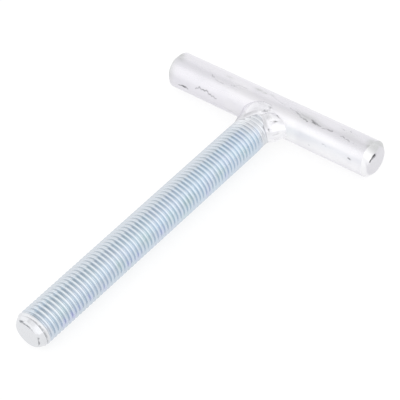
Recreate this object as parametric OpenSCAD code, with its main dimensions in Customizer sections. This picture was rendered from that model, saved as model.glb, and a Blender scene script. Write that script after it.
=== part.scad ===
// Welded T-bolt: a threaded stud, cut off square, welded to the middle of a round cross bar.
// Millimetres. It lies flat, as at rest: the bar along X, the stud along -Y, +Z up.
// The origin is the point where the axes of bar and stud cross.

/* [Cross bar] */
// Diameter of the round bar
bar_d = 16; // [14:0.5:24]
// Length of the bar from end to end
bar_len = 106; // [70:1:200]
// Chamfer round both ends of the bar
bar_chamfer = 1.8; // [0.4:0.1:3]
// How far down the bar the sheared corner of its +X end reaches
shear_len = 2.2; // [1:0.1:4]
// How far across the end face the same corner reaches
shear_in = 4.8; // [2:0.1:6]

/* [Stud] */
// Diameter over the crests of the thread
crest_d = 15.8; // [11.8:0.1:16]
// Distance from one crest to the next
pitch = 2; // [1.25:0.25:2.5]
// From the axis of the bar to the tip of the stud
reach = 150; // [80:1:300]
// Length of the taper at the tip
lead_len = 3.2; // [2:0.1:4]
// How much narrower the end face is than the thread, in diameter
lead_drop = 3.2; // [1.6:0.1:4]

/* [Weld] */
// Space between bar and stud that the weld fills
root_gap = 1; // [0.5:0.1:2]
// How far the first pass, at the -X side and over the top, spreads past the side of the stud
first_spread = 3.6; // [2:0.1:6]
// The same for the second pass, at the +X side
second_spread = 5.4; // [2:0.1:6]
// How far the first pass climbs round the bar, in degrees from the side that faces the stud
first_climb = 71; // [60:1:75]
// The same for the second pass
second_climb = 55; // [45:1:60]
// How far the first pass runs along the stud, from the face of the bar
first_leg = 8.8; // [6:0.1:10]
// The same for the second pass
second_leg = 5.8; // [5:0.1:10]
// The same where the two passes meet, on top and underneath
meet_leg = 2.6; // [2.5:0.1:5]
// How far the side of the first pass is hollowed, below a straight fillet
first_hollow = 1; // [0:0.1:1.2]
// How far the side of the second pass swells, past a straight fillet
second_swell = 0.9; // [0.2:0.1:1.5]
// How far the weld swells on top
top_swell = 1.3; // [0.8:0.1:3]

/* [Hidden] */
$fn = 96;

bar_r = bar_d / 2;
crest_r = crest_d / 2;
tip_r = crest_r - lead_drop / 2;

// Thread form: 60 degree flanks and the broad crests of a rolled thread.
thread_depth = 0.5413 * pitch;
root_r = crest_r - thread_depth;
flank = thread_depth * tan(30);
crest_flat = pitch / 4;

// The stud starts past the weld's root and has as many whole ridges as fit.
stud_start = bar_r + root_gap;
ridges = floor((reach - stud_start) / pitch);

// Heat leaves the crests beside the weld a little lower than the rest, and the weld ends in a lip on them.
soft_end = bar_r + max(first_leg, second_leg) + 1.5;
soft_drop = 0.2;

// Weld skin: steps round the stud, steps from bar to stud, and the ripples left by the torch.
around = 108;
along = 7;
ripples = 18;
ripple_h = 0.07;
// The weld's edges reach this far under the metal it is fused to.
bite = 0.3;
// Where the two passes meet, in degrees round the stud: on top of it, on top of the bar, and underneath.
meet_top = 74;
meet_bar = 82;
meet_under = 270;
// Spread of the pulled-back toe and of the notch at a meeting point, in degrees.
meet_spread = 28;
notch_spread = 5;
notch_part = 0.6;
// Degrees over which one pass gives way to the other, on the stud and on the bar.
stud_blend = 5;
bar_blend = 2;
// Where the sheared corner lies round the bar, in degrees from the side that faces the stud.
shear_turn = 62;

// Largest radius of the stud at a distance y from the bar's axis.
function stud_limit(y) =
    y > reach - lead_len ? crest_r - (crest_r - tip_r) * (y - reach + lead_len) / lead_len :
    y < soft_end ? crest_r - soft_drop :
    crest_r;

function stud_point(r, y) = [min(r, stud_limit(y)), y];

function ridge(y) = [
    stud_point(root_r, y),
    stud_point(crest_r, y + flank),
    stud_point(crest_r, y + flank + crest_flat),
    stud_point(root_r, y + 2 * flank + crest_flat)
];

// 1 at an angle, falling off to 0 on both sides of it.
function near(a, centre, spread) =
    let (d = abs((a - centre + 540) % 360 - 180))
    exp(-pow(d / spread, 2));

function upper(a) = pow(max(0, sin(a)), 2);

function rising(a, centre, blend) = 1 / (1 + exp((centre - a) / blend));

// 1 where the first pass lies, 0 where the second does.
function first_part(a, top, blend) = rising(a, top, blend) * rising(-a, -meet_under, stud_blend);

function first_on_bar(a) = first_part(a, meet_bar, bar_blend);

function between(part, first, second) = second + (first - second) * part;

function full(v, power) = sign(v) * pow(abs(v), power);

// Toe of the weld on the bar, at an angle a round the stud; the second pass spreads squarer than the first.
function toe_on_bar(a) =
    let (
        second = cos(a) > 0,
        r = bar_r - bite,
        climb = between(first_on_bar(a), first_climb, second_climb),
        z = r * sin(climb) * full(sin(a), second ? 0.62 : 0.94),
        spread = second ? second_spread : first_spread
    )
    [(crest_r + spread) * full(cos(a), second ? 0.62 : 1.1), -sqrt(r * r - z * z), z];

// Where the weld ends on the stud; it draws back where the passes meet.
function leg(a) =
    let (
        meet = max(near(a, meet_top, meet_spread), near(a, meet_under, meet_spread)),
        side_leg = between(first_part(a, meet_top, stud_blend), first_leg, second_leg)
    )
    side_leg + (meet_leg - side_leg) * meet;

function toe_on_stud(a, r) = [r * cos(a), -bar_r - leg(a), r * sin(a)];

// Direction in which the weld swells.
function outward(a) =
    let (v = [cos(a), -0.8 * pow(cos(a), 2), sin(a)])
    v / norm(v);

function rounded(t) = pow(sin(180 * pow(t, 1.35)), 1.6);

// Part of the swell reached at t: the first pass is flat on top and steep at its edges, the second is rounded.
function rise(a, t) = between(first_on_bar(a), 1 - pow(2 * t - 1, 4), rounded(t));

// Swell over the top of the stud; the notch between the passes slants from the bar to the stud.
function top_height(a, t) =
    let (slant = meet_bar + (meet_top - meet_bar) * t)
    top_swell * upper(a) * rise(a, t) * (1 - notch_part * near(a, slant, notch_spread));

// Hollow or swell at the sides, none underneath.
function side_height(a, t) =
    between(first_on_bar(a), -first_hollow * sin(180 * pow(t, 0.6)), second_swell * rounded(t))
    * (1 - upper(a) - upper(-a));

function ripple(a, t) = ripple_h * cos(a * ripples) * (1 - upper(-a)) * rise(a, t);

// A point of the skin, t from 0 at the bar to 1 at the stud.
function skin_point(a, t) =
    (1 - t) * toe_on_bar(a) + t * toe_on_stud(a, crest_r)
    + (top_height(a, t) + side_height(a, t) + ripple(a, t)) * outward(a);

module bar_blank() {
    body = bar_len - 2 * bar_chamfer;
    rotate([0, 90, 0])
    rotate_extrude()
    polygon([
        [0, -bar_len / 2],
        [bar_r - bar_chamfer, -bar_len / 2],
        [bar_r, -body / 2],
        [bar_r, body / 2],
        [bar_r - bar_chamfer, bar_len / 2],
        [0, bar_len / 2]
    ]);
}

// The corner that the shear left slanting when the bar was cut off.
module sheared_corner() {
    rotate([180 - shear_turn, 0, 0])
    linear_extrude(height = 2 * bar_d, center = true)
    polygon([
        [bar_len / 2 - 2 * shear_len, bar_r + shear_in],
        [bar_len / 2 + shear_len, bar_r - 2 * shear_in],
        [bar_len / 2 + shear_len, bar_r + shear_in]
    ]);
}

module round_bar() {
    difference() {
        bar_blank();
        sheared_corner();
    }
}

// The thread is a row of rings with the thread's own form and pitch, so that every face stays exact.
module ridged_stud() {
    rotate([90, 0, 0])
    rotate_extrude()
    polygon(concat(
        [[0, stud_start]],
        [for (k = [0:ridges - 1]) each ridge(stud_start + k * pitch)],
        [stud_point(root_r, reach), [0, reach]]
    ));
}

// The weld as a plug: a skin round the joint, closed inside the bar and inside the stud.
module weld_plug() {
    // The last row lies under the roots of the thread, straight below the lip.
    rows = along + 1;
    skin = [
        for (j = [0:rows])
        for (i = [0:around - 1])
        let (a = 360 * i / around)
        j > along ? toe_on_stud(a, root_r - bite) : skin_point(a, j / along)
    ];
    in_bar = around * (rows + 1);
    in_stud = in_bar + 1;
    walls = [
        for (j = [0:rows - 1])
        for (i = [0:around - 1])
        let (
            n = (i + 1) % around,
            p = j * around,
            q = p + around
        )
        each [[p + i, q + i, q + n], [p + i, q + n, p + n]]
    ];
    caps = [
        for (i = [0:around - 1])
        let (
            n = (i + 1) % around,
            last = rows * around
        )
        each [[in_bar, i, n], [in_stud, last + n, last + i]]
    ];
    polyhedron(
        points = concat(skin, [[0, 0, 0], [0, -bar_r - first_leg, 0]]),
        faces = concat(walls, caps)
    );
}

module cross_bar() {
    color([0.86, 0.86, 0.88]) round_bar();
}

module threaded_stud() {
    color([0.74, 0.79, 0.85]) ridged_stud();
}

module weld_bead() {
    color([0.72, 0.72, 0.74])
    difference() {
        weld_plug();
        round_bar();
        ridged_stud();
    }
}

cross_bar();
threaded_stud();
weld_bead();
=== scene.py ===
"""Looks of a welded T-shaped anchor bolt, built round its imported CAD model."""

import math

import bpy
import numpy as np
from mathutils import Matrix, Vector


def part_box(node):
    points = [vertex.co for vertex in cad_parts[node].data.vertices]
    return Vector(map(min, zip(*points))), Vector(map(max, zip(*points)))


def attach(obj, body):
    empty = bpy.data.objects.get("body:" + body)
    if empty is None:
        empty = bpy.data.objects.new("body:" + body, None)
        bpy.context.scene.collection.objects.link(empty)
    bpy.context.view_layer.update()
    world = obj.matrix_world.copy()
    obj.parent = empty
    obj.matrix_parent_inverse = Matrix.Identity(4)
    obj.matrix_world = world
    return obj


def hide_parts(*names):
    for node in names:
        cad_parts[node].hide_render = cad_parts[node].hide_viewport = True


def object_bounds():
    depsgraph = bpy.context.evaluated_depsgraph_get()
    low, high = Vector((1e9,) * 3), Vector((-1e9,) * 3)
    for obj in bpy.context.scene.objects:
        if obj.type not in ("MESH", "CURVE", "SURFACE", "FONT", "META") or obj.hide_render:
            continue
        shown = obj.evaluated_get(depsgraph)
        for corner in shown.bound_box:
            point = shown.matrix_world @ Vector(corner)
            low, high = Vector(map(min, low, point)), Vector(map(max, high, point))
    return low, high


bl_info = {
    "name": "Welded anchor bolt",
    "version": (1, 0, 0),
    "blender": (4, 5, 0),
    "location": "3D View > Sidebar > Anchor bolt",
    "description": "Makes the threaded stud, the cross bar, the weld between them and a plain studio",
    "category": "Object",
}

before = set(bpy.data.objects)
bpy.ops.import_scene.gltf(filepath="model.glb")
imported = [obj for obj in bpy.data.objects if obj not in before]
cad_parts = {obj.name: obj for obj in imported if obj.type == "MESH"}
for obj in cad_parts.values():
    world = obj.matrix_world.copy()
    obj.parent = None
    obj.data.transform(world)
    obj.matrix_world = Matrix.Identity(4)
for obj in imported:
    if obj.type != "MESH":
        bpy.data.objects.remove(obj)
CAD_BOX = [[float(v) for v in corner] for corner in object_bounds()]
STUD_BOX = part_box("threaded_stud")
BAR_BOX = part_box("cross_bar")
MM = 0.001
# The thread's depth and the width of its flat crest, as shares of the pitch.
THREAD_DEPTH = 0.5413
CREST_FLAT = 0.25
# Heat leaves the crests beside the weld this much lower, and reaches this far past the weld.
SOFT_DROP = 0.2 * MM
SOFT_RUN = 1.5 * MM
# Width of the broken edge round the stud's end face.
END_RIM = 0.4 * MM
# Radius over which the corners at the ends of the bar are rounded.
BAR_ROUNDING = 0.14 * MM
# The weld's edges reach this far under the metal that it is fused to.
WELD_BITE = 0.3 * MM
# Where the two passes meet, in degrees round the stud: on top of it, on top of the bar, and underneath.
MEET_TOP = 74
MEET_BAR = 82
MEET_UNDER = 270


# Settings


def length_setting(name, description, default):
    """A size, in metres."""
    return bpy.props.FloatProperty(
        name=name, description=description, default=default, unit="LENGTH", precision=4)


def angle_setting(name, description, degrees):
    """An angle, with its default given in degrees."""
    return bpy.props.FloatProperty(
        name=name, description=description, default=math.radians(degrees), subtype="ANGLE")


def colour_setting(name, description, default):
    """A colour."""
    return bpy.props.FloatVectorProperty(
        name=name, description=description, default=default, size=3, subtype="COLOR", min=0, max=1)


class StudSettings(bpy.types.PropertyGroup):
    """Sizes and tints of the threaded stud"""

    crest_diameter: length_setting(
        "Crest diameter", "Diameter over the thread's crests", STUD_BOX[1][0] - STUD_BOX[0][0])
    start: length_setting("Start", "From the bar's axis to the cut end inside the weld", -STUD_BOX[1][1])
    reach: length_setting("Reach", "From the bar's axis to the tip", -STUD_BOX[0][1])
    pitch: length_setting("Pitch", "Distance from one crest to the next", 2 * MM)
    lead: length_setting("Lead", "Length of the taper at the tip", 3.2 * MM)
    end_diameter: length_setting("End face", "Diameter of the taper where it meets the end face", 12.6 * MM)
    tint: colour_setting("Plating", "Blue-tinted zinc of the stud", (0.615, 0.70, 0.785))
    violet: colour_setting("Violet tint", "Where the plating's film is thin", (0.635, 0.68, 0.775))
    green: colour_setting("Yellow-green tint", "Where the plating's film is thick", (0.61, 0.71, 0.74))
    violet_patch: colour_setting("Violet patches", "Where the film shimmers violet", (0.56, 0.575, 0.79))
    green_patch: colour_setting("Green patches", "Where the film shimmers green", (0.575, 0.675, 0.68))
    # Painted shade along the -X side, and a thin greyer film on the half towards the tip.
    film: colour_setting("Dull film", "Greyer plating along one side of the stud", (0.585, 0.63, 0.685))
    bare: colour_setting("Bare zinc", "Untinted zinc beside the weld and on the tip", (0.72, 0.73, 0.755))
    # Painted highlight on the crests and flanks on top and in some of the grooves.
    worn: colour_setting("Worn zinc", "Light metal where wear has polished the plating", (0.84, 0.87, 0.88))
    # Painted shade at the bottom of the grooves on top of the thread.
    grime: colour_setting("Grime", "Dark residue at the bottom of the grooves", (0.24, 0.33, 0.39))
    scratch: colour_setting("Scratches", "Fine scratches in the plating", (0.48, 0.53, 0.60))
    # Also the colour of the painted shade in the tip's first groove.
    nick_and_shade: colour_setting("Nicks", "Dark metal of the nicks on the tip", (0.16, 0.17, 0.19))


class BarSettings(bpy.types.PropertyGroup):
    """Sizes and tints of the cross bar"""

    diameter: length_setting("Diameter", "Diameter of the round bar", BAR_BOX[1][2] - BAR_BOX[0][2])
    length: length_setting("Length", "Length from end to end", BAR_BOX[1][0] - BAR_BOX[0][0])
    chamfer: length_setting("Chamfer", "Width of the chamfer round both ends", 1.8 * MM)
    shear_length: length_setting(
        "Sheared corner along", "How far down the bar the slanting corner of the +X end reaches", 2.2 * MM)
    shear_across: length_setting(
        "Sheared corner across", "How far across the end face the same corner reaches", 4.8 * MM)
    shear_turn: angle_setting(
        "Sheared corner turn", "Where it lies round the bar, from the side that faces the stud", 62)
    tint: colour_setting("Plating", "Bright zinc of the bar", (0.78, 0.769, 0.808))
    dull: colour_setting("Dull plating", "Greyer patches of the bar's zinc", (0.70, 0.694, 0.738))
    pale: colour_setting("Pale plating", "Lighter patches of the bar's zinc", (0.83, 0.82, 0.84))
    # Also painted as shade along the back of the bar.
    stain: colour_setting("Stains", "Yellowish grey film on the back of the bar", (0.50, 0.515, 0.50))
    # Painted highlight on the sheared corner, the chamfer below it and the brighter patches of the bar.
    bright: colour_setting("Burnished metal", "Bright metal of the worn ends", (0.97, 0.97, 0.975))
    scuff: colour_setting("Scuffs", "Dark metal at the bottom of dents and scuffs", (0.10, 0.10, 0.11))


class WeldSettings(bpy.types.PropertyGroup):
    """Sizes and tints of the weld"""

    first_spread: length_setting(
        "First pass along the bar", "Spread past the -X side of the stud", 3.6 * MM)
    second_spread: length_setting(
        "Second pass along the bar", "Spread past the +X side of the stud", 5.4 * MM)
    first_leg: length_setting(
        "First pass on the stud", "Run along the stud from the face of the bar, at the -X side", 8.8 * MM)
    second_leg: length_setting(
        "Second pass on the stud", "Run along the stud from the face of the bar, at the +X side", 5.8 * MM)
    meet_leg: length_setting(
        "Leg where the passes meet", "Run along the stud on top and underneath", 2.6 * MM)
    first_climb: angle_setting("First pass on the bar", "How far it climbs round the bar", 71)
    second_climb: angle_setting("Second pass on the bar", "How far it climbs round the bar", 55)
    first_hollow: length_setting("First hollow", "How far the side of the first pass is hollowed", 1 * MM)
    second_swell: length_setting("Second swell", "How far the side of the second pass swells", 0.9 * MM)
    top_swell: length_setting("Swell on top", "Swell of the lump that caps the joint", 1.3 * MM)
    ripples: bpy.props.IntProperty(
        name="Ripples", description="Ripples left by the torch, all the way round", default=18, min=8)
    tint: colour_setting("Plating", "Zinc over the weld metal", (0.805, 0.80, 0.834))
    # Also painted as shade on the first pass and at the second pass's lip, besides its patches at random.
    dull: colour_setting("Burnt metal", "Greyer patches of the weld", (0.62, 0.62, 0.645))
    pale: colour_setting("Pale plating", "Lighter patches of the weld", (0.88, 0.88, 0.89))
    # Painted highlight on the lump and on the second pass.
    bright: colour_setting("Bright metal", "Clean plating of the second pass", (0.97, 0.965, 0.985))
    # Painted shade in the creases, along the first pass's outline, between the ripples and in the dimples.
    crease_shade: colour_setting("Creases", "Dark bottom of creases and dimples", (0.15, 0.15, 0.16))


class StageSettings(bpy.types.PropertyGroup):
    """Camera, floor and light"""

    azimuth: angle_setting("Azimuth", "Camera's angle round the bolt, 0 looking along +Y", 45.669)
    elevation: angle_setting("Elevation", "Camera's angle above the floor", 44.184)
    roll: angle_setting("Roll", "Camera's turn about its own line of sight", -8.176)
    distance: length_setting("Distance", "From the camera to the point it looks at", 672.49 * MM)
    aim: bpy.props.FloatVectorProperty(
        name="Aim", description="Point that the camera looks at",
        default=(7.945 * MM, -57.72 * MM, 0.0), size=3, subtype="TRANSLATION", unit="LENGTH")
    lens: bpy.props.FloatProperty(
        name="Lens", description="Focal length, in millimetres", default=150.5961, unit="CAMERA")
    sensor: bpy.props.FloatProperty(
        name="Sensor", description="Width of the camera's sensor, in millimetres", default=36, unit="CAMERA")
    floor_size: length_setting("Floor", "Side of the square floor", 6.0)


# Node helpers

SOCKET_TYPES = {float: "NodeSocketFloat", int: "NodeSocketInt", tuple: "NodeSocketColor"}


def socket_of(node, name, kind="inputs"):
    """The enabled socket with that name, because some nodes hide others of the same name."""
    return next(s for s in getattr(node, kind) if s.name == name and s.enabled)


def put(tree, target, value):
    """Links a socket to an input, or sets the input to a plain value."""
    if isinstance(value, bpy.types.NodeSocket):
        tree.links.new(value, target)
    else:
        target.default_value = value


def node(tree, kind, attributes=None, **values):
    """Adds a node, sets its attributes, then its inputs by name with spaces written as underscores."""
    made = tree.nodes.new(kind)
    for name, value in (attributes or {}).items():
        setattr(made, name, value)
    for name, value in values.items():
        put(tree, socket_of(made, name.replace("_", " ")), value)
    return made


def math_node(tree, operation, *values, kind="ShaderNodeMath"):
    """A Math node's result for one to three values."""
    made = tree.nodes.new(kind)
    made.operation = operation
    for target, value in zip(made.inputs, values):
        put(tree, target, value)
    return made.outputs[0]


def remapped(tree, value, low, high, to_low=0.0, to_high=1.0, ease="LINEAR"):
    """A value carried from one range to another and held at its ends."""
    made = node(tree, "ShaderNodeMapRange", {"interpolation_type": ease, "clamp": True}, Value=value,
                From_Min=low, From_Max=high, To_Min=to_low, To_Max=to_high)
    return made.outputs[0]


def noise(tree, place, scale, detail, roughness=0.5):
    """A noise texture's value."""
    made = node(tree, "ShaderNodeTexNoise", Vector=place, Scale=scale, Detail=detail, Roughness=roughness)
    return made.outputs[0]


def mixed(tree, factor, first, second):
    """A colour between two others."""
    made = node(tree, "ShaderNodeMix", {"data_type": "RGBA"}, Factor=factor, A=first, B=second)
    return socket_of(made, "Result", "outputs")


def group_with(name, inputs, outputs, kind="ShaderNodeTree"):
    """An empty node group; returns it with the values that it is given and the results that it puts out.

    An input comes with its default, or with its socket's type where it has none.
    """
    tree = bpy.data.node_groups.new(name, kind)
    for label, default in inputs.items():
        if isinstance(default, str):
            tree.interface.new_socket(label, in_out="INPUT", socket_type=default)
        else:
            made = tree.interface.new_socket(label, in_out="INPUT", socket_type=SOCKET_TYPES[type(default)])
            made.default_value = default
    for label, socket_type in outputs.items():
        tree.interface.new_socket(label, in_out="OUTPUT", socket_type=socket_type)
    return tree, tree.nodes.new("NodeGroupInput").outputs, tree.nodes.new("NodeGroupOutput").inputs


# Shader groups


def clouds_group():
    """Soft patches that drift between three tints, as on plated metal."""
    tree, given, result = group_with(
        "Plating clouds",
        {"Vector": "NodeSocketVector", "Base": (0.8, 0.8, 0.8, 1.0), "Second": (0.7, 0.7, 0.7, 1.0),
         "Third": (0.9, 0.9, 0.9, 1.0), "Scale": 60.0, "Second amount": 0.5, "Third amount": 0.5},
        {"Color": "NodeSocketColor", "Patches": "NodeSocketFloat"})
    elsewhere = math_node(tree, "ADD", given["Vector"], (0.31, 0.17, 0.23), kind="ShaderNodeVectorMath")
    wide = noise(tree, given["Vector"], given["Scale"], 4.0, 0.55)
    other = noise(tree, elsewhere, given["Scale"], 3.0)
    patches = remapped(tree, wide, 0.42, 0.66, ease="SMOOTHSTEP")
    others = remapped(tree, other, 0.50, 0.72, ease="SMOOTHSTEP")
    both = mixed(tree, math_node(tree, "MULTIPLY", patches, given["Second amount"]),
                 given["Base"], given["Second"])
    all_three = mixed(tree, math_node(tree, "MULTIPLY", others, given["Third amount"]), both, given["Third"])
    put(tree, result["Color"], all_three)
    put(tree, result["Patches"], patches)
    return tree


def scratches_group():
    """Thin scratches: the vector is stretched along them before it comes in."""
    tree, given, result = group_with(
        "Fine scratches",
        {"Vector": "NodeSocketVector", "Scale": 1.0, "Cover": 0.5},
        {"Lines": "NodeSocketFloat", "Height": "NodeSocketFloat"})
    lines = noise(tree, given["Vector"], given["Scale"], 5.0, 0.65)
    low = math_node(tree, "SUBTRACT", 0.78, math_node(tree, "MULTIPLY", given["Cover"], 0.25))
    put(tree, result["Lines"], remapped(tree, lines, low, 0.80))
    put(tree, result["Height"], lines)
    return tree


def scuffs_and_shade_group():
    """Breaks the soft edge of the marks painted on a piece's points into a ragged one."""
    tree, given, result = group_with(
        "Ragged scuffs",
        {"Vector": "NodeSocketVector", "Marks": 0.0, "Scale": 900.0},
        {"Mask": "NodeSocketFloat"})
    # The marks are scuffs and nicks, and on the weld and the stud's tip also painted shade.
    grain = noise(tree, given["Vector"], given["Scale"], 4.0, 0.7)
    broken = math_node(tree, "MULTIPLY", given["Marks"], remapped(tree, grain, 0.30, 0.62, 0.25, 1.25))
    put(tree, result["Mask"], remapped(tree, broken, 0.15, 0.95))
    return tree


def shared_groups():
    """The shader groups, built once."""
    makers = {"Plating clouds": clouds_group, "Fine scratches": scratches_group,
              "Ragged scuffs": scuffs_and_shade_group}
    return [bpy.data.node_groups.get(name) or make() for name, make in makers.items()]


# Materials


def metal(name):
    """A fully metallic material; returns it with its nodes, its shader and its Object coordinates."""
    made = bpy.data.materials.new(name)
    made.use_nodes = True
    tree = made.node_tree
    shader = tree.nodes["Principled BSDF"]
    shader.inputs["Metallic"].default_value = 1.0
    return made, tree, shader.inputs, tree.nodes.new("ShaderNodeTexCoord").outputs["Object"]


def placed(tree, group, **values):
    """A shader group in a material, with its own values; returns its results."""
    made = tree.nodes.new("ShaderNodeGroup")
    made.node_tree = group
    for name, value in values.items():
        put(tree, made.inputs[name.replace("_", " ")], value)
    return made.outputs


def stretched(tree, place, scale):
    """Object coordinates squeezed or stretched along the axes."""
    made = node(tree, "ShaderNodeMapping", Vector=place)
    made.inputs["Scale"].default_value = scale
    return made.outputs[0]


def opaque(tint):
    """A colour with full alpha."""
    return (*tint, 1.0)


def painted(tree, name):
    """A value stored on a piece's points."""
    return node(tree, "ShaderNodeAttribute", {"attribute_name": name}).outputs["Fac"]


def layered(tree, colour, *layers):
    """A colour with others laid over it in turn, each through its own mask."""
    for mask, tint in layers:
        colour = mixed(tree, mask, colour, opaque(tint))
    return colour


def bumped(tree, height, strength, distance):
    """A Bump node's normal."""
    made = node(tree, "ShaderNodeBump", Height=height)
    made.inputs["Strength"].default_value = strength
    made.inputs["Distance"].default_value = distance
    return made.outputs[0]


def bar_material(bar):
    """Bright zinc with dull patches, lengthwise scratches, stains, painted highlight and shade, dark scuffs.
    """
    made, tree, shader, place = metal("bright_zinc_bar")
    clouds_of, scratches_of, scuffs_and_shade_of = shared_groups()
    clouds = placed(tree, clouds_of, Vector=stretched(tree, place, (0.35, 1, 1)), Base=opaque(bar.tint),
                    Second=opaque(bar.dull), Third=opaque(bar.pale), Scale=130.0,
                    Second_amount=0.5, Third_amount=0.5)
    lines = placed(tree, scratches_of, Vector=stretched(tree, place, (25, 900, 900)), Scale=1.0, Cover=0.45)
    scuffs_and_shade = placed(tree, scuffs_and_shade_of, Vector=place, Marks=painted(tree, "marks"), Scale=1700.0)
    # The bright layer is painted highlight, and the stains layer carries painted shade along the back too.
    put(tree, shader["Base Color"], layered(
        tree, clouds["Color"],
        (math_node(tree, "MULTIPLY", lines["Lines"], 0.22), bar.dull),
        (painted(tree, "stains"), bar.stain),
        (painted(tree, "bright"), bar.bright),
        (scuffs_and_shade["Mask"], bar.scuff)))
    # The lower part of the bar is duller than the top, and so are its patches and scuffs.
    height = node(tree, "ShaderNodeSeparateXYZ", Vector=place).outputs["Z"]
    rough = math_node(tree, "ADD", remapped(tree, clouds["Patches"], 0.0, 1.0, 0.0, 0.06),
                      remapped(tree, height, 2.5 * MM, 5.8 * MM, 0.52, 0.24, ease="SMOOTHSTEP"))
    put(tree, shader["Roughness"], math_node(tree, "MULTIPLY_ADD", scuffs_and_shade["Mask"], 0.2, rough))
    put(tree, shader["Normal"], bumped(tree, lines["Height"], 0.10, 0.2 * MM))
    return made


def stud_material(stud):
    """Blue-tinted zinc that drifts to violet and yellow-green, bare where painted so, painted shade and
    highlight.
    """
    made, tree, shader, place = metal("blue_zinc_stud")
    clouds_of, scratches_of, scuffs_and_shade_of = shared_groups()
    clouds = placed(tree, clouds_of, Vector=place, Base=opaque(stud.tint), Second=opaque(stud.violet),
                    Third=opaque(stud.green), Scale=150.0, Second_amount=0.6, Third_amount=0.6)
    lines = placed(tree, scratches_of, Vector=stretched(tree, place, (700, 700, 700)), Scale=1.0, Cover=0.5)
    scuffs_and_shade = placed(tree, scuffs_and_shade_of, Vector=place, Marks=painted(tree, "marks"), Scale=900.0)
    # Painted shade along one side and in the grooves, painted highlight on the crests on top.
    put(tree, shader["Base Color"], layered(
        tree, clouds["Color"],
        (painted(tree, "film"), stud.film),
        (painted(tree, "violet"), stud.violet_patch),
        (painted(tree, "green"), stud.green_patch),
        (painted(tree, "bare"), stud.bare),
        (painted(tree, "worn"), stud.worn),
        (painted(tree, "grime"), stud.grime),
        (math_node(tree, "MULTIPLY", lines["Lines"], 0.2), stud.scratch),
        (scuffs_and_shade["Mask"], stud.nick_and_shade)))
    put(tree, shader["Roughness"], remapped(tree, clouds["Patches"], 0.0, 1.0, 0.13, 0.19))
    put(tree, shader["Normal"], bumped(tree, lines["Height"], 0.08, 0.1 * MM))
    return made


def weld_material(weld):
    """Zinc over weld metal with painted shade where greyer and in its creases, and painted highlight."""
    made, tree, shader, place = metal("plated_weld")
    clouds_of, _, scuffs_and_shade_of = shared_groups()
    clouds = placed(tree, clouds_of, Vector=place, Base=opaque(weld.tint), Second=opaque(weld.dull),
                    Third=opaque(weld.pale), Scale=240.0, Second_amount=0.4, Third_amount=0.6)
    scuffs_and_shade = placed(tree, scuffs_and_shade_of, Vector=place, Marks=painted(tree, "marks"), Scale=800.0)
    # The dull layer is painted shade and the bright layer painted highlight.
    put(tree, shader["Base Color"], layered(
        tree, clouds["Color"],
        (painted(tree, "dull"), weld.dull),
        (painted(tree, "bright"), weld.bright),
        (scuffs_and_shade["Mask"], weld.crease_shade)))
    put(tree, shader["Roughness"], remapped(tree, clouds["Patches"], 0.0, 1.0, 0.18, 0.30))
    put(tree, shader["Normal"], bumped(tree, noise(tree, place, 1500.0, 3.0), 0.12, 0.2 * MM))
    return made


# Meshes


def new_piece(name, mesh, material=None):
    """Links a mesh as an object at the origin."""
    made = bpy.data.objects.new(name, mesh)
    bpy.context.scene.collection.objects.link(made)
    if material:
        mesh.materials.append(material)
    return made


def store(mesh, name, values):
    """Stores a value for each point, which the materials read by its name."""
    layer = mesh.attributes.new(name, "FLOAT", "POINT")
    layer.data.foreach_set("value", np.asarray(values, np.float32).ravel())


def rings_mesh(name, points, middles, paint, turned=False):
    """A smooth closed mesh: rings of points, row by row, and a middle point for each end.

    It carries what is painted on its rings. Turned, its faces run the other way round.
    """
    rows, columns = points.shape[:2]
    j, i = np.meshgrid(np.arange(rows - 1), np.arange(columns), indexing="ij")
    n = (i + 1) % columns
    quads = np.stack([j * columns + i, (j + 1) * columns + i, (j + 1) * columns + n, j * columns + n], -1)
    quads = quads.reshape(-1, 4)
    first = np.arange(columns)
    last = first + (rows - 1) * columns
    if turned:
        quads, first, last = quads[:, ::-1], first[::-1], last[::-1]
    faces = quads.tolist()
    for middle, ring in ((rows * columns, first), (rows * columns + 1, last[::-1])):
        faces += [(middle, int(a), int(b)) for a, b in zip(ring, np.roll(ring, -1))]
    mesh = bpy.data.meshes.new(name)
    mesh.from_pydata(np.concatenate([points.reshape(-1, 3), middles]).tolist(), [], faces)
    mesh.validate()
    mesh.update()
    for label, values in paint.items():
        store(mesh, label, np.append(values, (0, 0)))
    mesh.shade_smooth()
    return mesh


def ramp(value, start, end):
    """0 at the start, 1 at the end, straight between them and level beyond."""
    return np.clip((value - start) / (end - start), 0, 1)


def bump_of(distance, spread):
    """1 in the middle, falling off to 0 round it."""
    return np.exp(-(distance / spread) ** 2)


def angle_near(angle, centre_deg, spread_deg):
    """1 at an angle, falling off to 0 on both sides of it."""
    offset = (angle - math.radians(centre_deg) + math.pi) % (2 * math.pi) - math.pi
    return bump_of(offset, math.radians(spread_deg))


def patches_on(along, angle, patches, radius):
    """Soft patches on a round surface: place along it, degrees round it, half length, half width, amount."""
    cover = np.zeros_like(along)
    for place, degrees, long, wide, amount in patches:
        offset = (angle - math.radians(degrees)) * radius
        cover = np.maximum(cover, amount * np.exp(-((along - place) / long) ** 2 - (offset / wide) ** 2))
    return cover


def ride_as(piece, solid):
    """Lets a piece stand for a CAD node, on the bolt's only body."""
    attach(piece, "root")
    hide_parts(solid)


# Threaded stud

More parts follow.
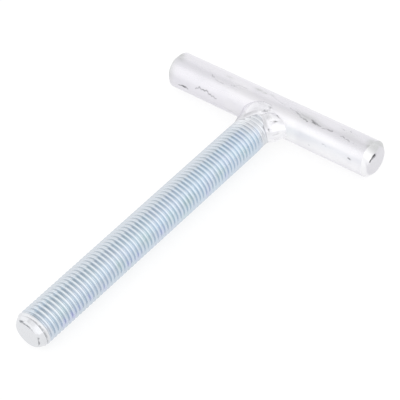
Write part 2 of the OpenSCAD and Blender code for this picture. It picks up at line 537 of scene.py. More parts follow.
# Patches where the film of the stud shimmers: distance from the tip in mm, angle in degrees (0 is the +X
# side, 90 is the top), half length and half width in mm, amount.
STUD_VIOLET = (
    (12.6, -5, 1.6, 2.0, 0.60),
    (17.3, -6, 1.6, 2.4, 0.80),
    (21.6, 0, 1.4, 1.6, 0.45),
    (27.4, 3, 1.4, 1.6, 0.55),
    (35.3, -12, 1.6, 1.8, 0.45),
    (49.7, -4, 1.6, 1.8, 0.60),
    (55.0, -6, 1.8, 2.0, 0.50),
    (69.3, 4, 2.0, 2.0, 0.45),
    (98.0, -9, 1.8, 2.0, 0.50),
    (110.0, -8, 1.8, 1.8, 0.40),
)
STUD_GREEN = (
    (14.0, 34, 4.0, 2.4, 0.45),
    (32.0, -26, 1.6, 1.8, 0.45),
    (45.0, 20, 2.0, 2.6, 0.60),
    (61.0, 30, 4.0, 3.4, 0.60),
    (86.5, 24, 4.0, 2.4, 0.70),
    (106.5, 24, 3.0, 2.4, 0.60),
)
# Nicks on the rim of the tip: angle in degrees, distance from the tip, spread and depth in mm.
TIP_NICKS = (
    (124, 0.2, 0.42, 0.30),
    (117, 0.2, 0.48, 0.40),
    (110, 0.2, 0.46, 0.40),
    (103, 0.2, 0.40, 0.30),
    (97, 1.2, 0.46, 0.30),
    (14, 0.1, 0.45, 0.35),
)


def thread_tree():
    """Geometry Nodes: a helical thread with a tapered tip and closed ends, along -Y."""
    tree, size, result = group_with(
        "Thread helix",
        {"Crest radius": 0.0079, "Depth": 0.0012, "Pitch": 0.002, "Crest share": 0.25, "Start": 0.009,
         "Soft end": 0.019, "Reach": 0.15, "Lead": 0.003, "End radius": 0.0063, "Rim": 0.0004,
         "Turns": 72, "Rows in a turn": 10, "Steps round": 96, "Material": "NodeSocketMaterial"},
        {"Geometry": "NodeSocketGeometry"}, "GeometryNodeTree")

    def math_of(operation, *values):
        return math_node(tree, operation, *values)

    grid = node(tree, "GeometryNodeMeshGrid", Size_X=1.0, Size_Y=1.0,
                Vertices_X=math_of("ADD", size["Steps round"], 1.0),
                Vertices_Y=math_of("MULTIPLY_ADD", size["Turns"], size["Rows in a turn"], 1.0))
    position = tree.nodes.new("GeometryNodeInputPosition").outputs[0]
    flat = node(tree, "ShaderNodeSeparateXYZ", Vector=position).outputs
    round_part = math_of("ADD", flat["X"], 0.5)
    turns = math_of("MULTIPLY", math_of("ADD", flat["Y"], 0.5), size["Turns"])
    # Distance from the bar's axis: one pitch further with every turn.
    raw = math_of("MULTIPLY_ADD", math_of("SUBTRACT", math_of("ADD", turns, round_part), 1.0),
                  size["Pitch"], size["Start"])
    along = math_of("MINIMUM", math_of("MAXIMUM", raw, size["Start"]), size["Reach"])
    left = math_of("SUBTRACT", size["Reach"], along)
    # Thread form: a broad flat crest, straight flanks and a narrow root.
    wave = math_of("MULTIPLY", math_of("ABSOLUTE", math_of("SUBTRACT", math_of("FRACT", turns), 0.5)), 2.0)
    root_edge = math_of("MULTIPLY_ADD", size["Depth"], math_of("DIVIDE", 2 / math.sqrt(3), size["Pitch"]),
                        size["Crest share"])
    dip = math_of("MULTIPLY", remapped(tree, wave, size["Crest share"], root_edge), size["Depth"])
    # The grooves are shallower beside the weld and on the tip, where plating has filled them.
    on_tip = remapped(tree, left, 3 * MM, 5.5 * MM, 0.6, 1.0)
    by_weld = remapped(tree, along, math_of("SUBTRACT", size["Soft end"], 2 * MM),
                       math_of("ADD", size["Soft end"], 6 * MM), 0.86, 1.0)
    filled = math_of("MULTIPLY", dip, math_of("MINIMUM", on_tip, by_weld))
    form = math_of("SUBTRACT", size["Crest radius"], filled)
    # The radius stays inside the taper of the tip, the broken rim of its end, the cut end in the weld and
    # the crests that the weld's heat has lowered.
    taper = remapped(tree, left, 0.0, size["Lead"], size["End radius"], size["Crest radius"])
    face_radius = math_of("SUBTRACT", size["End radius"], size["Rim"])
    rim = math_of("ADD", face_radius, left)
    root = math_of("SUBTRACT", size["Crest radius"], size["Depth"])
    cut = math_of("ADD", root, math_of("SUBTRACT", along, size["Start"]))
    soft = remapped(tree, along, math_of("SUBTRACT", size["Soft end"], size["Pitch"]), size["Soft end"],
                    math_of("SUBTRACT", size["Crest radius"], SOFT_DROP), size["Crest radius"])
    radius = form
    for limit in (taper, rim, cut, soft):
        radius = math_of("MINIMUM", radius, limit)
    angle = math_of("MULTIPLY", round_part, 2 * math.pi)
    spot = node(tree, "ShaderNodeCombineXYZ",
                X=math_of("MULTIPLY", radius, math_of("COSINE", angle)),
                Y=math_of("MULTIPLY", along, -1.0),
                Z=math_of("MULTIPLY", radius, math_of("SINE", angle)))
    wall = node(tree, "GeometryNodeSetPosition", Geometry=grid.outputs["Mesh"], Position=spot.outputs[0])
    smooth = node(tree, "GeometryNodeSetShadeSmooth", Geometry=wall.outputs[0])
    joined = tree.nodes.new("GeometryNodeJoinGeometry")
    put(tree, joined.inputs[0], smooth.outputs[0])
    for distance, end_radius, turned in ((size["Reach"], face_radius, False), (size["Start"], root, True)):
        disc = node(tree, "GeometryNodeMeshCone", {"fill_type": "NONE"}, Vertices=size["Steps round"],
                    Side_Segments=10, Radius_Top=0.0, Radius_Bottom=end_radius, Depth=0.0)
        where = node(tree, "ShaderNodeCombineXYZ", Y=math_of("MULTIPLY", distance, -1.0))
        moved = node(tree, "GeometryNodeTransform", Geometry=disc.outputs[0], Translation=where.outputs[0])
        moved.inputs["Rotation"].default_value = (math.pi / 2, 0, 0)
        face = moved.outputs[0]
        if turned:
            face = node(tree, "GeometryNodeFlipFaces", Mesh=face).outputs[0]
        face = node(tree, "GeometryNodeSetShadeSmooth", Geometry=face, Shade_Smooth=False).outputs[0]
        put(tree, joined.inputs[0], face)
    closed = node(tree, "GeometryNodeMergeByDistance", Geometry=joined.outputs[0], Distance=0.02 * MM)
    real = node(tree, "GeometryNodeRealizeInstances", Geometry=closed.outputs[0])
    coated = node(tree, "GeometryNodeSetMaterial", Geometry=real.outputs[0], Material=size["Material"])
    put(tree, result[0], coated.outputs[0])
    return tree


def grown(tree, name, values):
    """Runs a Geometry Nodes tree on an empty mesh and returns its result as a plain mesh."""
    holder = new_piece(name + "_holder", bpy.data.meshes.new(name + "_holder"))
    modifier = holder.modifiers.new(name, "NODES")
    modifier.node_group = tree
    for item in tree.interface.items_tree:
        if item.in_out == "INPUT":
            modifier[item.identifier] = values[item.name]
    shown = holder.evaluated_get(bpy.context.evaluated_depsgraph_get())
    mesh = bpy.data.meshes.new_from_object(shown)
    mesh.name = name
    holder.modifiers.remove(modifier)
    bpy.data.objects.remove(holder)
    if not mesh.vertices:
        raise RuntimeError(name + " came out empty")
    return mesh


def stud_paint(stud, points, soft_end):
    """What is painted on the stud's points, each as a value from 0 to 1."""
    from_tip = (points[:, 1] + stud.reach) / MM
    weld_end = (stud.reach - soft_end) / MM
    turn = np.arctan2(points[:, 2], points[:, 0])
    degrees = np.degrees(turn)
    out = np.hypot(points[:, 0], points[:, 2])
    narrower = (stud.crest_diameter - stud.end_diameter) / 2
    outer = stud.crest_diameter / 2 - ramp(from_tip * MM, stud.lead, 0) * narrower
    depth = ramp(outer - out, 0, 0.9 * MM)
    # Bare zinc on the tip and its first thread, on top beside the weld and on the first crest past it.
    wander = 0.5 * np.sin(2 * turn + 1) + 0.3 * np.sin(5 * turn)
    heated = ramp(from_tip + 2 * wander, weld_end - 6, weld_end) * ramp(degrees, 36, 66)
    heated = np.maximum(heated, ramp(from_tip + wander, weld_end + 1.3, weld_end + 2.5))
    bare = np.maximum(ramp(from_tip - wander, 5.4, 3.4), 0.9 * heated)
    # Painted shade on the -X side from just past the top, and a thin greyer film on the half towards the tip.
    side = ramp(degrees - 14 * ramp(from_tip, 34, 0), 84, 93)
    film = np.maximum(side, 0.3 * ramp(from_tip, 75, 30))
    # Dark lines along parts of the end face's rim, and painted shade at the bottom of the first groove.
    arcs = np.maximum(angle_near(turn, 80, 34), angle_near(turn, -8, 22))
    rim_line = arcs * bump_of(out / MM - 5.9, 0.32) * bump_of(from_tip, 0.5)
    first_groove = ramp(depth, 0, 0.45) ** 3 * (from_tip > 0.8)
    first_groove *= ramp(from_tip + stud.pitch / MM * turn / (2 * math.pi), 4.1, 3.1)
    # Painted shade at the bottom of the grooves on top, a little less of it farther from the tip, and a
    # duller patch of it lower down.
    uneven = 1 + 0.15 * np.sin(1.9 * from_tip) + 0.15 * np.sin(0.7 * from_tip + 1)
    grime = (0.52 - 0.001 * from_tip) * uneven * depth ** 9 * angle_near(turn, 80, 20)
    grime *= (1 - side) * (1 - 0.8 * heated) * (from_tip > 0.6)
    grime = np.maximum(grime, 0.2 * depth * bump_of(from_tip - 89, 13) * angle_near(turn, 32, 13))
    # Painted highlight: the crests and flanks on top are lighter, most of all towards the tip, and so are
    # the grooves on the -X side and in a band below the top.
    worn = ramp(depth, 0.95, 0.7) * angle_near(turn, 64, 28) * np.maximum(0, 0.62 - 0.005 * from_tip)
    worn = np.maximum(worn, depth * np.maximum(0.5 * side, 0.2 * angle_near(turn, 47, 10)))
    worn *= ramp(from_tip, 4, 7)
    crest_mm = stud.crest_diameter / 2 / MM
    return {"marks": np.maximum(rim_line, 0.55 * first_groove), "bare": bare, "film": film, "grime": grime,
            "worn": worn, "violet": patches_on(from_tip, turn, STUD_VIOLET, crest_mm),
            "green": patches_on(from_tip, turn, STUD_GREEN, crest_mm)}


def nick_tip(stud, points):
    """Pushes the nicks into the points of the tip's rim and returns how dark they are."""
    marks = np.zeros(len(points))
    radius = stud.end_diameter / 2
    for degrees, back, spread, deep in TIP_NICKS:
        cos, sin = math.cos(math.radians(degrees)), math.sin(math.radians(degrees))
        spot = np.array([radius * cos, back * MM - stud.reach, radius * sin])
        near = bump_of(np.linalg.norm(points - spot, axis=1), spread * MM)
        inward = np.array([-cos, 0.6, -sin])
        points += near[:, None] * inward * deep * MM
        marks = np.maximum(marks, 1.2 * near)
    return marks


class ANCHORBOLT_OT_threaded_stud(bpy.types.Operator):
    """Makes the stud with its helical thread and the nicks on its tip"""

    bl_idname = "anchorbolt.threaded_stud"
    bl_label = "Threaded stud"

    def execute(self, context):
        stud, bar, weld = (getattr(context.scene, "anchorbolt_" + n) for n in ("stud", "bar", "weld"))
        soft_end = bar.diameter / 2 + weld.first_leg + SOFT_RUN
        mesh = grown(thread_tree(), "threaded_stud_helix", {
            "Crest radius": stud.crest_diameter / 2,
            "Depth": THREAD_DEPTH * stud.pitch,
            "Pitch": stud.pitch,
            "Crest share": CREST_FLAT,
            "Start": stud.start,
            "Soft end": soft_end,
            "Reach": stud.reach,
            "Lead": stud.lead,
            "End radius": stud.end_diameter / 2,
            "Rim": END_RIM,
            "Turns": math.ceil((stud.reach - stud.start) / stud.pitch) + 1,
            "Rows in a turn": 14,
            "Steps round": 90,
            "Material": stud_material(stud),
        })
        points = np.empty(len(mesh.vertices) * 3)
        mesh.vertices.foreach_get("co", points)
        points = points.reshape(-1, 3)
        paint = stud_paint(stud, points, soft_end)
        paint["marks"] = np.maximum(paint["marks"], nick_tip(stud, points))
        mesh.vertices.foreach_set("co", points.ravel())
        for name, values in paint.items():
            store(mesh, name, values)
        mesh.update()
        ride_as(new_piece("threaded_stud_helix", mesh), "threaded_stud")
        return {"FINISHED"}


# Cross bar

# Scratches and dents of the bar as strokes: half width and depth in mm, darkness, then points as distance
# along the bar in mm and angle round it in degrees (0 faces the stud, 90 is the top).
BAR_STROKES = (
    (0.50, 0.10, 1.10, ((-43.6, 1), (-42.2, -1))),
    (0.30, 0.06, 0.80, ((-46.0, -3), (-43.6, 0), (-41.9, 4), (-40.8, -3))),
    (0.24, 0.04, 0.70, ((-36.2, 12), (-35.7, 18), (-35.0, 16), (-34.2, 26), (-33.0, 18), (-32.2, 23))),
    (0.24, 0.04, 0.80, ((-32.2, 23), (-31.2, 19), (-30.4, 25), (-29.6, 23), (-28.8, 14), (-27.8, 19))),
    (0.22, 0.04, 0.70, ((-27.8, 19), (-27.2, 12), (-26.2, 17), (-25.4, 10), (-24.4, 13))),
    (0.26, 0.04, 0.60, ((-31.0, 77), (-30.4, 74), (-29.2, 73))),
    (0.22, 0.02, 0.50, ((-28.4, 69), (-26.9, 66), (-23.2, 66))),
    (0.22, 0.02, 0.46, ((-20.0, 71), (-18.2, 74), (-17.0, 84), (-12.4, 84))),
    (0.30, 0.02, 0.36, ((-20.9, -6), (-18.6, -10), (-16.2, -12), (-14.0, -18))),
    (0.24, 0.03, 0.50, ((10.2, 87), (11.6, 84), (13.2, 85), (14.7, 81))),
    (0.26, 0.04, 0.62, ((14.7, 80), (16.0, 79), (17.0, 73), (18.4, 74))),
    (0.22, 0.03, 0.42, ((12.2, 92), (15.0, 87), (18.0, 82), (20.4, 80))),
    (0.30, 0.05, 0.74, ((18.6, 72), (19.6, 73), (20.8, 69))),
    (0.28, 0.07, 1.00, ((23.0, 75.6), (24.1, 74), (24.8, 73))),
    (0.26, 0.04, 0.70, ((22.0, 80), (24.4, 78), (26.2, 72), (27.4, 73))),
    (0.26, 0.04, 0.55, ((28.4, 70), (29.8, 72), (30.6, 75), (31.4, 72))),
    (0.32, 0.05, 0.78, ((31.2, 74), (32.4, 73), (33.2, 75))),
    (0.26, 0.04, 0.62, ((37.6, 72), (38.8, 74), (40.0, 70), (41.4, 71), (42.4, 67))),
    (0.24, 0.02, 0.32, ((43.5, 68), (46.2, 66))),
    (0.28, 0.03, 0.45, ((36.0, 98), (37.2, 96))),
    (0.32, 0.03, 0.55, ((39.3, 104), (40.2, 102))),
    (0.30, 0.04, 0.55, ((24.7, 5), (25.3, 2))),
    (0.26, 0.03, 0.46, ((31.4, 27), (32.6, 28), (33.6, 24))),
    (0.38, 0.06, 0.78, ((44.6, 22), (45.9, 20))),
    (0.26, 0.03, 0.42, ((48.8, -12), (49.9, -14))),
    (0.24, 0.02, 0.40, ((-2.0, 103), (2.4, 94), (7.4, 88))),
)
# Stained and dull patches: along in mm, angle in degrees, half length and half width in mm, amount.
BAR_STAINS = (
    (-8.0, 101, 2.0, 0.7, 0.70),
    (-4.6, 99, 1.4, 0.5, 0.60),
    (-1.0, 103, 1.2, 0.4, 0.45),
    (-23.7, 97, 2.0, 0.6, 0.35),
    (-50.6, 95, 1.8, 1.6, 0.70),
    (-52.2, 32, 2.8, 5.0, 0.55),
    (-49.5, 84, 2.4, 1.4, 0.50),
    (50.5, 98, 2.2, 2.4, 0.60),
    (50.8, 82, 1.2, 1.2, 0.70),
    (20.0, 83, 6.0, 1.8, 0.38),
    (24.5, 74, 3.0, 0.7, 0.45),
    (41.0, 90, 5.0, 1.6, 0.25),
)
# Painted highlights: brighter patches, in the same order.
BAR_SHEEN = (
    (30.0, 38, 22.0, 2.6, 0.50),
    (31.0, 8, 22.0, 4.2, 0.75),
    (14.0, 30, 5.0, 3.0, 0.60),
    (15.0, 10, 6.0, 5.0, 1.00),
    (48.0, 4, 6.0, 4.0, 0.60),
)
# A dark nick where the sheared corner breaks into the end face, and its tail: half width and depth in mm,
# then points on the face as Y and Z in mm.
END_NICK = (
    (0.80, ((-0.1, 2.8), (-1.2, 2.5))),
    (0.38, ((-1.5, 2.4), (-2.7, 2.3), (-3.5, 1.9))),
)


def back_strokes(count, seed):
    """Scratches on the side of the bar that faces away from the stud, strewn by chance."""
    chance = np.random.default_rng(seed)
    strokes = []
    for _ in range(count):
        start = chance.uniform((-47, 148), (40, 172))
        steps = chance.uniform((0.6, -5), (2.4, 5), (4, 2))
        dark = chance.uniform(0.35, 0.8)
        strokes.append((0.28, 0.04, dark, start + np.cumsum(steps, 0)))
    return strokes


def stroke_distance(x, side, stroke):
    """Distance from points of a flat or unrolled face, in mm, to a line through the stroke's points."""
    best = np.full_like(x, np.inf)
    for (x0, s0), (x1, s1) in zip(stroke, stroke[1:]):
        dx, ds = x1 - x0, s1 - s0
        part = np.clip(((x - x0) * dx + (side - s0) * ds) / (dx * dx + ds * ds), 0, 1)
        best = np.minimum(best, np.hypot(x - x0 - part * dx, side - s0 - part * ds))
    return best


def end_drop(bar, r, turn, sheared):
    """How far the end of the bar falls short of its full length, at a radius and an angle."""
    radius = bar.diameter / 2
    falls = [np.exp((r - radius + bar.chamfer) / BAR_ROUNDING)]
    if sheared:
        slope = bar.shear_length / bar.shear_across
        inside = r * np.cos(turn - bar.shear_turn) - radius + bar.shear_across
        falls.append(np.exp(inside * slope / BAR_ROUNDING))
    return BAR_ROUNDING * np.log(1 + sum(falls))


def bar_rings(bar, steps):
    """Rings from the -X end's face along the bar to the +X end's: place, radius, angle; an end's radii too."""
    radius, half = bar.diameter / 2, bar.length / 2
    turn = (np.arange(steps) * 2 * math.pi / steps)[None, :] - math.pi
    # Rings of an end, from the middle of its face to the edge, close together at the chamfer.
    face = np.concatenate([np.linspace(0.05, 0.72, 14), np.linspace(0.74, 0.985, 14), [0.995, 1.0]])
    r_end = radius * face[:, None] + 0 * turn
    x_left = -half + end_drop(bar, r_end, turn, False)
    x_right = half - end_drop(bar, r_end, turn, True)
    along = np.concatenate([[0.0008, 0.0025], np.linspace(0.005, 0.995, 300), [0.9975, 0.9992]])[:, None]
    x_body = x_left[-1] + (x_right[-1] - x_left[-1]) * along
    x = np.concatenate([x_left, x_body, x_right[::-1]])
    r = np.concatenate([r_end, np.full_like(x_body, radius), r_end[::-1]])
    return x, r, np.repeat(turn, len(x), 0), r_end


def paint_ends(bar, r_end, turn, stains, bright):
    """Paints highlight on the sheared corner and the chamfer below it, and stains the face and the corner's
    top.
    """
    rings = len(r_end)
    level = end_drop(bar, r_end, turn, False)
    chamfer = ramp(level, 0, 0.3 * MM)
    corner = ramp(end_drop(bar, r_end, turn, True) - level, 0, 0.3 * MM)
    height = r_end * np.sin(turn - bar.shear_turn) / MM
    # Painted highlight, strongest in the middle of the sheared corner.
    highlit_middle = bump_of(height + 1.0, 2.3)
    lower = 0.55 * chamfer * ramp(height, -1.2, -3.2)
    edge = np.maximum(corner, chamfer) * (height > 0)
    bright[:rings] = 0
    bright[-rings:] = np.maximum(corner * highlit_middle, lower)[::-1]
    stains[:rings] = np.maximum(stains[:rings], 0.6 * chamfer)
    stains[-rings:] = np.maximum(stains[-rings:], (0.17 + 0.45 * edge * (1 - highlit_middle))[::-1])


class ANCHORBOLT_OT_cross_bar(bpy.types.Operator):
    """Makes the round bar with worn ends, one of them sheared, and with its scratches and dents"""

    bl_idname = "anchorbolt.cross_bar"
    bl_label = "Cross bar"

    def execute(self, context):
        bar = context.scene.anchorbolt_bar
        radius, half = bar.diameter / 2, bar.length / 2
        round_mm = radius / MM
        x, r, turn, r_end = bar_rings(bar, steps=180)
        marks = np.zeros_like(r)
        for wide, depth, dark, stroke in (*BAR_STROKES, *back_strokes(count=14, seed=5)):
            bent = [(place, math.radians(degrees) * round_mm) for place, degrees in stroke]
            near = bump_of(stroke_distance(x / MM, turn * round_mm, bent), wide) * (r > 0.9 * radius)
            r = r - near * depth * MM
            marks = np.maximum(marks, near * dark)
        # Painted shade lies as an uneven darker film along the back, next to the stained patches.
        film = 0.52 + 0.12 * np.sin(x / (11 * MM)) + 0.05 * np.sin(x / (2.9 * MM) + 1)
        film *= angle_near(turn, 180, 24) * (r > 0.98 * radius)
        stains = np.maximum(patches_on(x / MM, turn, BAR_STAINS, round_mm), film)
        # Painted highlight in patches along the bar.
        bright = patches_on(x / MM, turn, BAR_SHEEN, round_mm)
        paint_ends(bar, r_end, turn[:len(r_end)], stains, bright)
        # The chamfers are uneven from place to place.
        worn = bump_of(np.abs(x) - half, 1.6 * MM)
        r = r * (1 - 0.008 * worn * (1.2 + np.sin(3 * turn + 0.7) + 0.6 * np.sin(7 * turn + 2.1)))
        points = np.stack([x, -r * np.cos(turn), r * np.sin(turn)], -1)
        on_end = x > half - 4 * MM
        for wide, stroke in END_NICK:
            near = on_end * bump_of(stroke_distance(points[..., 1] / MM, points[..., 2] / MM, stroke), wide)
            points[..., 0] -= near * wide * MM
            marks = np.maximum(marks, 1.25 * near)
        mesh = rings_mesh("cross_bar_worn", points, [(-half, 0, 0), (half, 0, 0)],
                          {"marks": marks, "stains": stains, "bright": bright})
        ride_as(new_piece("cross_bar_worn", mesh, bar_material(bar)), "cross_bar")
        return {"FINISHED"}


# Weld

# Dimples and dark strokes: angle, part of the way from bar to stud, spread of both, depth in mm, darkness.
# Their darkness is painted shade.
WELD_DIMPLES = (
    (47.5, 0.42, 3.0, 0.140, 0.28, 0.66),
    (64.5, 0.10, 4.5, 0.080, 0.10, 0.80),
    (57.0, 0.12, 5.0, 0.070, 0.10, 0.70),
    (84.0, 0.18, 2.5, 0.120, 0.10, 0.60),
    (70.0, 0.56, 2.0, 0.060, 0.10, 0.50),
    (5.0, 0.76, 8.0, 0.140, 0.15, 0.12),
    (27.0, 0.85, 6.0, 0.055, 0.12, 0.90),
)


def rising(angle, centre_deg, blend_deg):
    """0 before an angle and 1 past it, with a short blend."""
    return 1 / (1 + np.exp((math.radians(centre_deg) - angle) / math.radians(blend_deg)))


def powered(value, power):
    """A value raised to a power, with its sign kept."""
    return np.sign(value) * np.abs(value) ** power


class WeldPasses:
    """Angles round the stud, parts of the way from bar to stud in rows, and what lies where between them"""

    def __init__(self, weld, around, along):
        self.a = np.arange(around) * 2 * math.pi / around
        self.t = np.linspace(0, 1, along)[:, None]
        self.under = np.maximum(0, -np.sin(self.a)) ** 2
        # 1 where the first pass lies, 0 where the second does, on the stud and on the bar.
        before_end = rising(-self.a, -MEET_UNDER, 5)
        self.first = rising(self.a, MEET_TOP, 5) * before_end
        self.first_on_bar = rising(self.a, MEET_BAR, 2) * before_end
        # Ripples lag behind at the toes, as crescents do.
        self.ripple = np.cos((self.a + 0.16 * (2 * self.t - 1) ** 2) * weld.ripples)
        self.dimples = [angle_near(self.a, centre, wide) * bump_of(self.t - part, tall)
                        for centre, part, wide, tall, _, _ in WELD_DIMPLES]


def weld_points(weld, passes, bar_radius, crest_radius, root_radius):
    """Points of the weld's skin, row by row from the bar to the stud."""
    a, t, under, first_on_bar = passes.a, passes.t, passes.under, passes.first_on_bar
    cos, sin = np.cos(a), np.sin(a)
    upper = np.maximum(0, sin) ** 2
    # On the bar both passes spread squarer above than below, the second more so than the first.
    second, above = cos > 0, sin > 0
    square = np.where(above, 0.62, 1)
    full_cos = powered(cos, np.where(second, square, np.where(above, 0.84, 1.1)))
    full_sin = powered(sin, np.where(second, square, 0.94))
    r = bar_radius - WELD_BITE
    climb = weld.second_climb + (weld.first_climb - weld.second_climb) * first_on_bar
    z = r * np.sin(climb) * full_sin
    spread = np.where(second, weld.second_spread, weld.first_spread)
    on_bar = np.stack([(crest_radius + spread) * full_cos, -np.sqrt(r * r - z * z), z], -1)
    # The weld draws back along the stud where the passes meet, and all along the underside of the second.
    below = np.where(second, np.maximum(0, -sin), angle_near(a, MEET_UNDER, 28))
    meet = np.maximum(angle_near(a, MEET_TOP, 28), below)
    side_leg = weld.second_leg + (weld.first_leg - weld.second_leg) * passes.first
    leg = side_leg + (weld.meet_leg - side_leg) * meet
    ring = np.stack([cos, 0 * a, sin], -1)
    end = np.stack([0 * a, -bar_radius - leg, 0 * a], -1)
    points = (1 - t)[..., None] * on_bar + t[..., None] * (crest_radius * ring + end)
    outward = np.stack([cos, -0.8 * cos ** 2, sin], -1)
    outward /= np.linalg.norm(outward, axis=1)[:, None]
    # The first pass is flat on top and steep at its edges, the second is rounded. The notch between them
    # slants from the bar to the stud.
    rounded = np.abs(np.sin(math.pi * t ** 1.35)) ** 1.6
    rise = rounded + (1 - (2 * t - 1) ** 4 - rounded) * first_on_bar
    notch = angle_near(a - np.radians(MEET_BAR + (MEET_TOP - MEET_BAR) * t), 0, 5)
    top = weld.top_swell * upper * rise * (1 - 0.6 * notch)
    # The first pass is hollow at its side, the second swells there.
    side = weld.second_swell * rounded * (1 - first_on_bar)
    side = (side - weld.first_hollow * np.sin(math.pi * t ** 0.6) * first_on_bar) * (1 - upper - under)
    # The first pass is almost smooth, the second rippled.
    ripple = 0.08 * MM * passes.ripple * (1 - under) * (0.2 + 0.8 * angle_near(a, 20, 50))
    points = points + (top + side + ripple * rise)[..., None] * outward
    for dimple, (*_, depth, _) in zip(passes.dimples, WELD_DIMPLES):
        points = points - (dimple * depth * MM)[..., None] * outward
    # The last row lies under the roots of the thread, straight below the lip.
    return np.concatenate([points, [(root_radius - WELD_BITE) * ring + end]])


def weld_paint(passes):
    """What is painted on the weld's skin: dark marks, bright and dull plating."""
    a, t, first, first_on_bar = passes.a, passes.t, passes.first, passes.first_on_bar
    degrees = np.degrees(a)
    not_under = 1 - passes.under
    # Edge of the lump on the first pass, in degrees at parts of the way from bar to stud.
    lump_end = np.interp(t, (0, 0.2, 0.5, 0.68, 0.85, 1), (158, 144, 127, 116, 110, 106))
    beyond = ramp(degrees - lump_end, 0, 6)
    # Painted shade: dark in the crease between the passes, along the outline of the first pass, at the
    # lump's edge, in the lines between the ripples and in the dimples.
    crease_shade = 0.66 * angle_near(a, 81, 2.8) * bump_of(t - 0.5, 0.31)
    outline = 0.42 * bump_of(t - 0.05, 0.05) * first * not_under
    lump_edge = 0.3 * bump_of(degrees - lump_end, 4) * (t < 0.95)
    lines = 0.32 * np.clip(-passes.ripple, 0, 1) ** 4 * (1 - first_on_bar) * not_under * bump_of(t - 0.55, 0.3)
    spots = [dimple * dark for dimple, (*_, dark) in zip(passes.dimples, WELD_DIMPLES)]
    marks = np.max([crease_shade, outline, lump_edge, lines, *spots], axis=0)
    # Painted highlight on the lump, and painted shade on the first pass past it and towards the stud.
    bright = 0.5 * first_on_bar * ramp(degrees, 102, 110) * (1 - beyond) * bump_of(t - 0.5, 0.35)
    at_stud = ramp(t, 0.8, 0.88)
    dull = np.maximum(0.45 * beyond, 0.9 * at_stud)
    dull = first * np.maximum(dull, 0.4 * angle_near(a, 94, 5) * bump_of(t - 0.65, 0.11))
    # Painted highlight on the second pass, less of it in its middle, and painted shade at its lip on the stud.
    high = ramp(degrees, 44, 54) * (a < math.pi)
    middle = ramp(degrees, 6, 14) * (a < math.pi) - high
    second_highlight = 0.4 * high + 0.18 * middle + 0.4 * (1 - middle - high) + 0.5 * angle_near(a, 344, 9)
    lip = np.maximum(at_stud * angle_near(a, 45, 22), 0.8 * angle_near(a, 60, 6) * bump_of(t - 0.74, 0.16))
    bright = bright + (1 - first) * second_highlight * (1 - lip) * not_under
    dull = dull + (1 - first) * lip
    # The row under the thread is painted as the one above it.
    paint = {"marks": marks, "bright": bright, "dull": dull}
    return {name: np.vstack([rows, rows[-1:]]) for name, rows in paint.items()}


class ANCHORBOLT_OT_weld_bead(bpy.types.Operator):
    """Makes the weld: a smooth lump over the top and a rippled fillet, with a notch where they meet"""

    bl_idname = "anchorbolt.weld_bead"
    bl_label = "Weld bead"

    def execute(self, context):
        weld, stud, bar = (getattr(context.scene, "anchorbolt_" + n) for n in ("weld", "stud", "bar"))
        bar_radius, crest = bar.diameter / 2, stud.crest_diameter / 2
        passes = WeldPasses(weld, around=360, along=49)
        points = weld_points(weld, passes, bar_radius, crest, crest - THREAD_DEPTH * stud.pitch)
        middles = [(0, 0, 0), (0, -bar_radius - weld.first_leg, 0)]
        mesh = rings_mesh("weld_bead_rippled", points, middles, weld_paint(passes), turned=True)
        ride_as(new_piece("weld_bead_rippled", mesh, weld_material(weld)), "weld_bead")
        return {"FINISHED"}


# Stage


def add_camera(scene, stage):
    """Places the camera that sees the bolt as the photograph does."""
    az, el, roll = stage.azimuth, stage.elevation, stage.roll
    back = Vector((math.sin(az) * math.cos(el), -math.cos(az) * math.cos(el), math.sin(el)))
    level = Vector((math.cos(az), math.sin(az), 0))
    upright = back.cross(level)
    right = math.cos(roll) * level + math.sin(roll) * upright
    up = math.cos(roll) * upright - math.sin(roll) * level
    camera = bpy.data.objects.new("camera", bpy.data.cameras.new("camera"))
    camera.data.sensor_width = stage.sensor
    camera.data.lens = stage.lens
    camera.data.clip_start = 0.01
    camera.data.clip_end = 20
    turn = Matrix((right, up, back)).transposed().to_4x4()
    camera.matrix_world = Matrix.Translation(Vector(stage.aim) + back * stage.distance) @ turn
    scene.collection.objects.link(camera)
    scene.camera = camera


def add_floor(stage):
    """Lays a wide pale sheet under the bolt."""
    reach, ground = stage.floor_size / 2, CAD_BOX[0][2]
    sheet = bpy.data.meshes.new("floor")
    sheet.from_pydata([(x * reach, y * reach, ground) for x, y in ((-1, -1), (1, -1), (1, 1), (-1, 1))],
                      [], [(0, 1, 2, 3)])
    pale = bpy.data.materials.new("pale_floor")
    pale.use_nodes = True
    # The sheet is lit from below too, which keeps the shadow under the bolt light.
    looks = {"Base Color": (0.24, 0.24, 0.24, 1), "Emission Color": (1, 1, 1, 1), "Emission Strength": 0.78,
             "Roughness": 0.9, "Specular IOR Level": 0.1}
    for name, value in looks.items():
        pale.node_tree.nodes["Principled BSDF"].inputs[name].default_value = value
    new_piece("floor", sheet, pale)


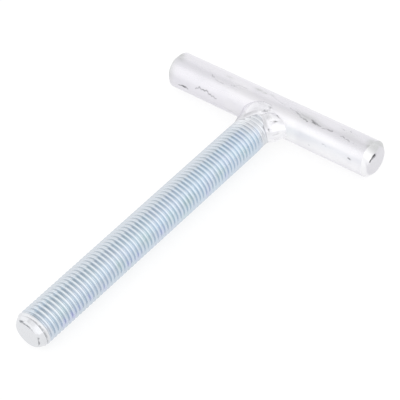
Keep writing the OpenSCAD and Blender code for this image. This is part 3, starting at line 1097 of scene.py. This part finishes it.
def studio_world(scene):
    """A bright sky in front and at the right, a little dimmer behind, dimmer still overhead at the left."""
    world = bpy.data.worlds.new("studio")
    world.use_nodes = True
    scene.world = world
    tree = world.node_tree
    tree.nodes.clear()
    toward = tree.nodes.new("ShaderNodeTexCoord").outputs["Generated"]
    sky = node(tree, "ShaderNodeSeparateXYZ", Vector=toward).outputs
    from_left = remapped(tree, sky["X"], -0.35, -0.05, 0.80, 0.93, ease="SMOOTHSTEP")
    overhead = remapped(tree, sky["Z"], 0.775, 0.815, 1.0, from_left, ease="SMOOTHSTEP")
    behind = remapped(tree, sky["Y"], -0.15, 0.3, 1.19, 1.06, ease="SMOOTHSTEP")
    at_right = remapped(tree, sky["X"], 0.2, 0.7, 1.0, 1.12, ease="SMOOTHSTEP")
    glow = math_node(tree, "MULTIPLY", math_node(tree, "MULTIPLY", overhead, behind), at_right)
    back = node(tree, "ShaderNodeBackground", Strength=glow, Color=(1, 1, 1, 1))
    put(tree, tree.nodes.new("ShaderNodeOutputWorld").inputs["Surface"], back.outputs[0])


class ANCHORBOLT_OT_stage(bpy.types.Operator):
    """Makes the camera, the plain pale floor and the soft light"""

    bl_idname = "anchorbolt.stage"
    bl_label = "Stage"

    def execute(self, context):
        scene, stage = context.scene, context.scene.anchorbolt_stage
        scene.view_settings.view_transform = "Standard"
        add_camera(scene, stage)
        add_floor(stage)
        studio_world(scene)
        return {"FINISHED"}


# Panel and registration


class ANCHORBOLT_PT_panel(bpy.types.Panel):
    """Lists the bolt's settings and the operators that make its pieces"""

    bl_idname = "ANCHORBOLT_PT_panel"
    bl_label = "Anchor bolt"
    bl_space_type = "VIEW_3D"
    bl_region_type = "UI"
    bl_category = "Anchor bolt"

    def draw(self, context):
        for part in ("stage", "stud", "bar", "weld"):
            box = self.layout.box()
            settings = getattr(context.scene, "anchorbolt_" + part)
            for name in type(settings).__annotations__:
                box.prop(settings, name)
            box.operator(OPERATORS[part])


SETTINGS = {"stage": StageSettings, "stud": StudSettings, "bar": BarSettings, "weld": WeldSettings}
OPERATORS = {"stage": "anchorbolt.stage", "stud": "anchorbolt.threaded_stud", "bar": "anchorbolt.cross_bar",
             "weld": "anchorbolt.weld_bead"}
CLASSES = (*SETTINGS.values(), ANCHORBOLT_OT_stage, ANCHORBOLT_OT_threaded_stud, ANCHORBOLT_OT_cross_bar,
           ANCHORBOLT_OT_weld_bead, ANCHORBOLT_PT_panel)


def register():
    """Adds the classes and the scene's settings."""
    for made in CLASSES:
        bpy.utils.register_class(made)
    for part, made in SETTINGS.items():
        setattr(bpy.types.Scene, "anchorbolt_" + part, bpy.props.PointerProperty(type=made))


def unregister():
    """Takes them away again."""
    for part in SETTINGS:
        delattr(bpy.types.Scene, "anchorbolt_" + part)
    for made in reversed(CLASSES):
        bpy.utils.unregister_class(made)


def main():
    """Makes the whole bolt and its stage."""
    register()
    bpy.ops.anchorbolt.stage()
    bpy.ops.anchorbolt.threaded_stud()
    bpy.ops.anchorbolt.cross_bar()
    bpy.ops.anchorbolt.weld_bead()
    bpy.context.view_layer.update()


if __name__ == "__main__":
    main()
